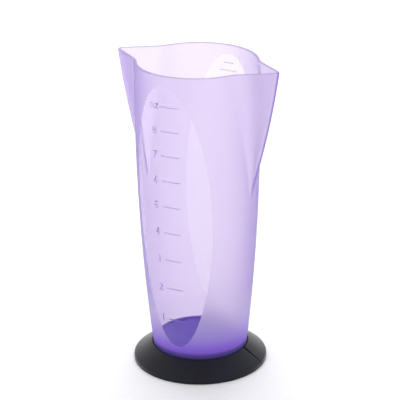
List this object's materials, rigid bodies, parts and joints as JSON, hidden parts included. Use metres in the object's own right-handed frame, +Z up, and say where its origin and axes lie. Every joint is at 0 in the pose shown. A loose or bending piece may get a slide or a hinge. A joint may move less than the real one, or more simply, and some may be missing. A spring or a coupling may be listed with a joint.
{
  "type": "measuring beaker",
  "caption": "Tall tapered translucent measuring beaker with two opposed pouring spouts and moulded volume marks, standing in a split non-slip rubber base ring.",
  "frame": {"origin": "on the beaker's axis, on the surface the base ring stands on", "axes": "+Z up along the beaker's axis, +X and -X towards the two spouts, -Y towards the ounce scale, +Y towards the millilitre scale"},
  "size_m": [0.084, 0.064, 0.1496],
  "materials": {
    "base_rubber": "satin moulded black rubber",
    "violet_plastic": "translucent violet, fine frosted outside with two polished clear oval windows over the scales"
  },
  "bodies": {
    "ring": {"base_ring": "base_rubber"},
    "vessel": {"beaker": "violet_plastic"}
  },
  "joints": [
    {"name": "ring_pull_off", "type": "slide", "parent": "ring", "child": "vessel", "axis": [0, 0, 1], "range_m": [0, 0.03]}
  ]
}
